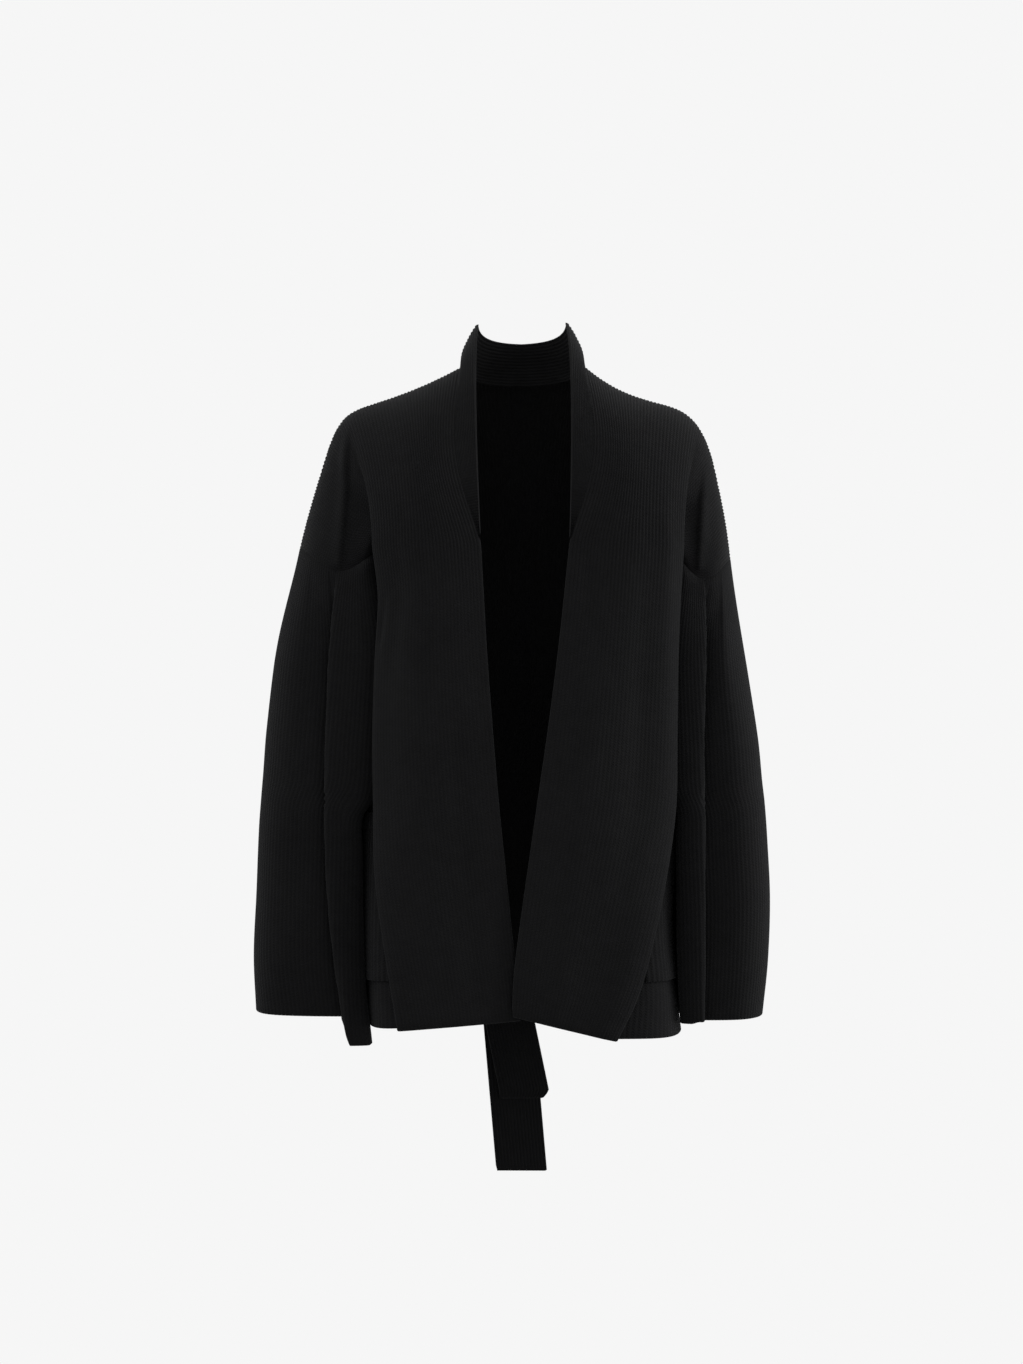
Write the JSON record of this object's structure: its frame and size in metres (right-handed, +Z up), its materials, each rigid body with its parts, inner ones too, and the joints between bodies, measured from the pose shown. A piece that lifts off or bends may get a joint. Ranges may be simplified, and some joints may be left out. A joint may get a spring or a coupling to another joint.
{
  "type": "open-front cardigan",
  "caption": "Black open-front knit cardigan with dropped shoulders, wide sleeves, a stand-up neckband, patch pockets and a belt tied at the back.",
  "frame": {"origin": "centre of the neck at the height of the shoulder's neck point, held by the neck and shoulders", "axes": "+Z up along the garment's length, -Y the front, +X the wearer's left"},
  "size_m": [0.5667, 0.2922, 0.9563],
  "materials": {
    "rib_knit": "matt black wool rib knit with short nap",
    "band_knit": "matt black wool in a finer, firmer rib",
    "pocket_knit": "matt black wool rib knit with short nap"
  },
  "bodies": {
    "root": {"back": "rib_knit", "front_R": "rib_knit", "front_L": "rib_knit", "sleeve_R": "rib_knit", "sleeve_L": "rib_knit", "collar": "band_knit", "pocket_R": "pocket_knit", "pocket_L": "pocket_knit", "belt_side_R": "band_knit", "belt_side_L": "band_knit", "belt_knot": "band_knit", "belt_end_long": "band_knit", "belt_end_short": "band_knit"}
  },
  "joints": []
}
